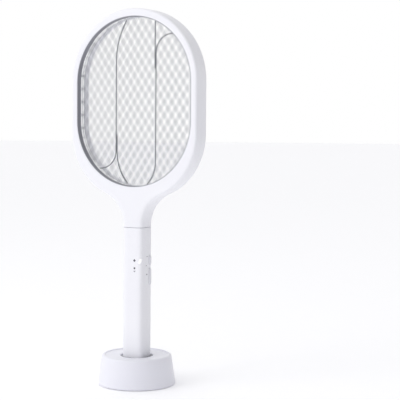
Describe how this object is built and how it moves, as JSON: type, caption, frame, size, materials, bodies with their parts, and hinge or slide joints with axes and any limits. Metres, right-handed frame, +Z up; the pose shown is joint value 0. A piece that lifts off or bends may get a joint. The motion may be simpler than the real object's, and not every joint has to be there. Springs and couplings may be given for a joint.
{
  "type": "electric fly swatter",
  "caption": "Cordless electric fly swatter with a racket head of wire nets on a slim handle, standing in a round charging base.",
  "frame": {"origin": "on the table at the centre of the charging base", "axes": "+Z up along the handle, -Y out of the front net, +X towards the side keys"},
  "size_m": [0.1826, 0.1, 0.4785],
  "materials": {
    "shell_white": "moulded ABS, satin gloss",
    "key_white": "moulded ABS, satin gloss",
    "foot_rubber": "moulded rubber, matte",
    "ballast_steel": "zinc plated",
    "contact_brass": "stamped",
    "board_green": "glass epoxy with solder mask",
    "inlet_steel": "drawn shell",
    "lead_sleeve": "PVC sleeve",
    "screw_steel": "zinc plated",
    "cell_wrap": "shrink wrap",
    "cradle_black": "moulded ABS",
    "tab_nickel": "nickel strip",
    "winding_tape": "polyester tape",
    "capacitor_red": "dipped film capacitor",
    "component_black": "moulded epoxy",
    "light_guide": "clear acrylic",
    "liner_grey": "rolled strip",
    "net_wire": "drawn wire, welded",
    "grid_wire": "drawn wire, welded",
    "spacer_natural": "moulded nylon",
    "rod_steel": "drawn rod"
  },
  "bodies": {
    "stand": {"base_shell": "shell_white", "bottom_plate": "shell_white", "foot_ring": "foot_rubber", "ballast_ring": "ballast_steel", "socket_cup": "shell_white", "charge_contacts": "contact_brass", "charge_board": "board_green", "usb_inlet": "inlet_steel", "base_leads": "lead_sleeve", "base_screws": "screw_steel"},
    "swatter": {"handle_front_shell": "shell_white", "handle_rear_shell": "shell_white", "handle_end_cap": "shell_white", "neck_spigot": "shell_white", "front_frame": "shell_white", "rear_frame": "shell_white", "charge_pads": "contact_brass", "grid_terminals": "contact_brass", "main_board": "board_green", "handle_leads": "lead_sleeve", "grid_leads": "lead_sleeve", "handle_screws": "screw_steel", "neck_screws": "screw_steel", "battery_cell": "cell_wrap", "battery_cradle": "cradle_black", "switch_riser": "cradle_black", "battery_contacts": "tab_nickel", "hv_transformer": "winding_tape", "hv_capacitors": "capacitor_red", "board_diodes": "component_black", "tact_switches": "component_black", "indicator_lights": "light_guide", "front_liner": "liner_grey", "front_guard_net": "net_wire", "rear_guard_net": "net_wire", "hv_grid": "grid_wire", "front_spacer": "spacer_natural", "rear_spacer": "spacer_natural", "front_brace_rods": "rod_steel"},
    "mode_button": {"mode_key": "key_white"},
    "zap_button": {"zap_key": "key_white"},
    "oval_button": {"oval_key": "key_white"}
  },
  "joints": [
    {"name": "lift_off", "type": "slide", "parent": "stand", "child": "swatter", "axis": [0, 0, 1], "range_m": [0, 0.045]},
    {"name": "mode_key_press", "type": "slide", "parent": "swatter", "child": "mode_button", "axis": [-1, 0, 0], "range_m": [0, 0.0006], "stiffness_N_per_m": 900},
    {"name": "zap_key_press", "type": "slide", "parent": "swatter", "child": "zap_button", "axis": [-1, 0, 0], "range_m": [0, 0.0006], "stiffness_N_per_m": 900},
    {"name": "oval_key_press", "type": "slide", "parent": "swatter", "child": "oval_button", "axis": [-0.5225, 0.8526, 0], "range_m": [0, 0.0005], "stiffness_N_per_m": 900}
  ]
}
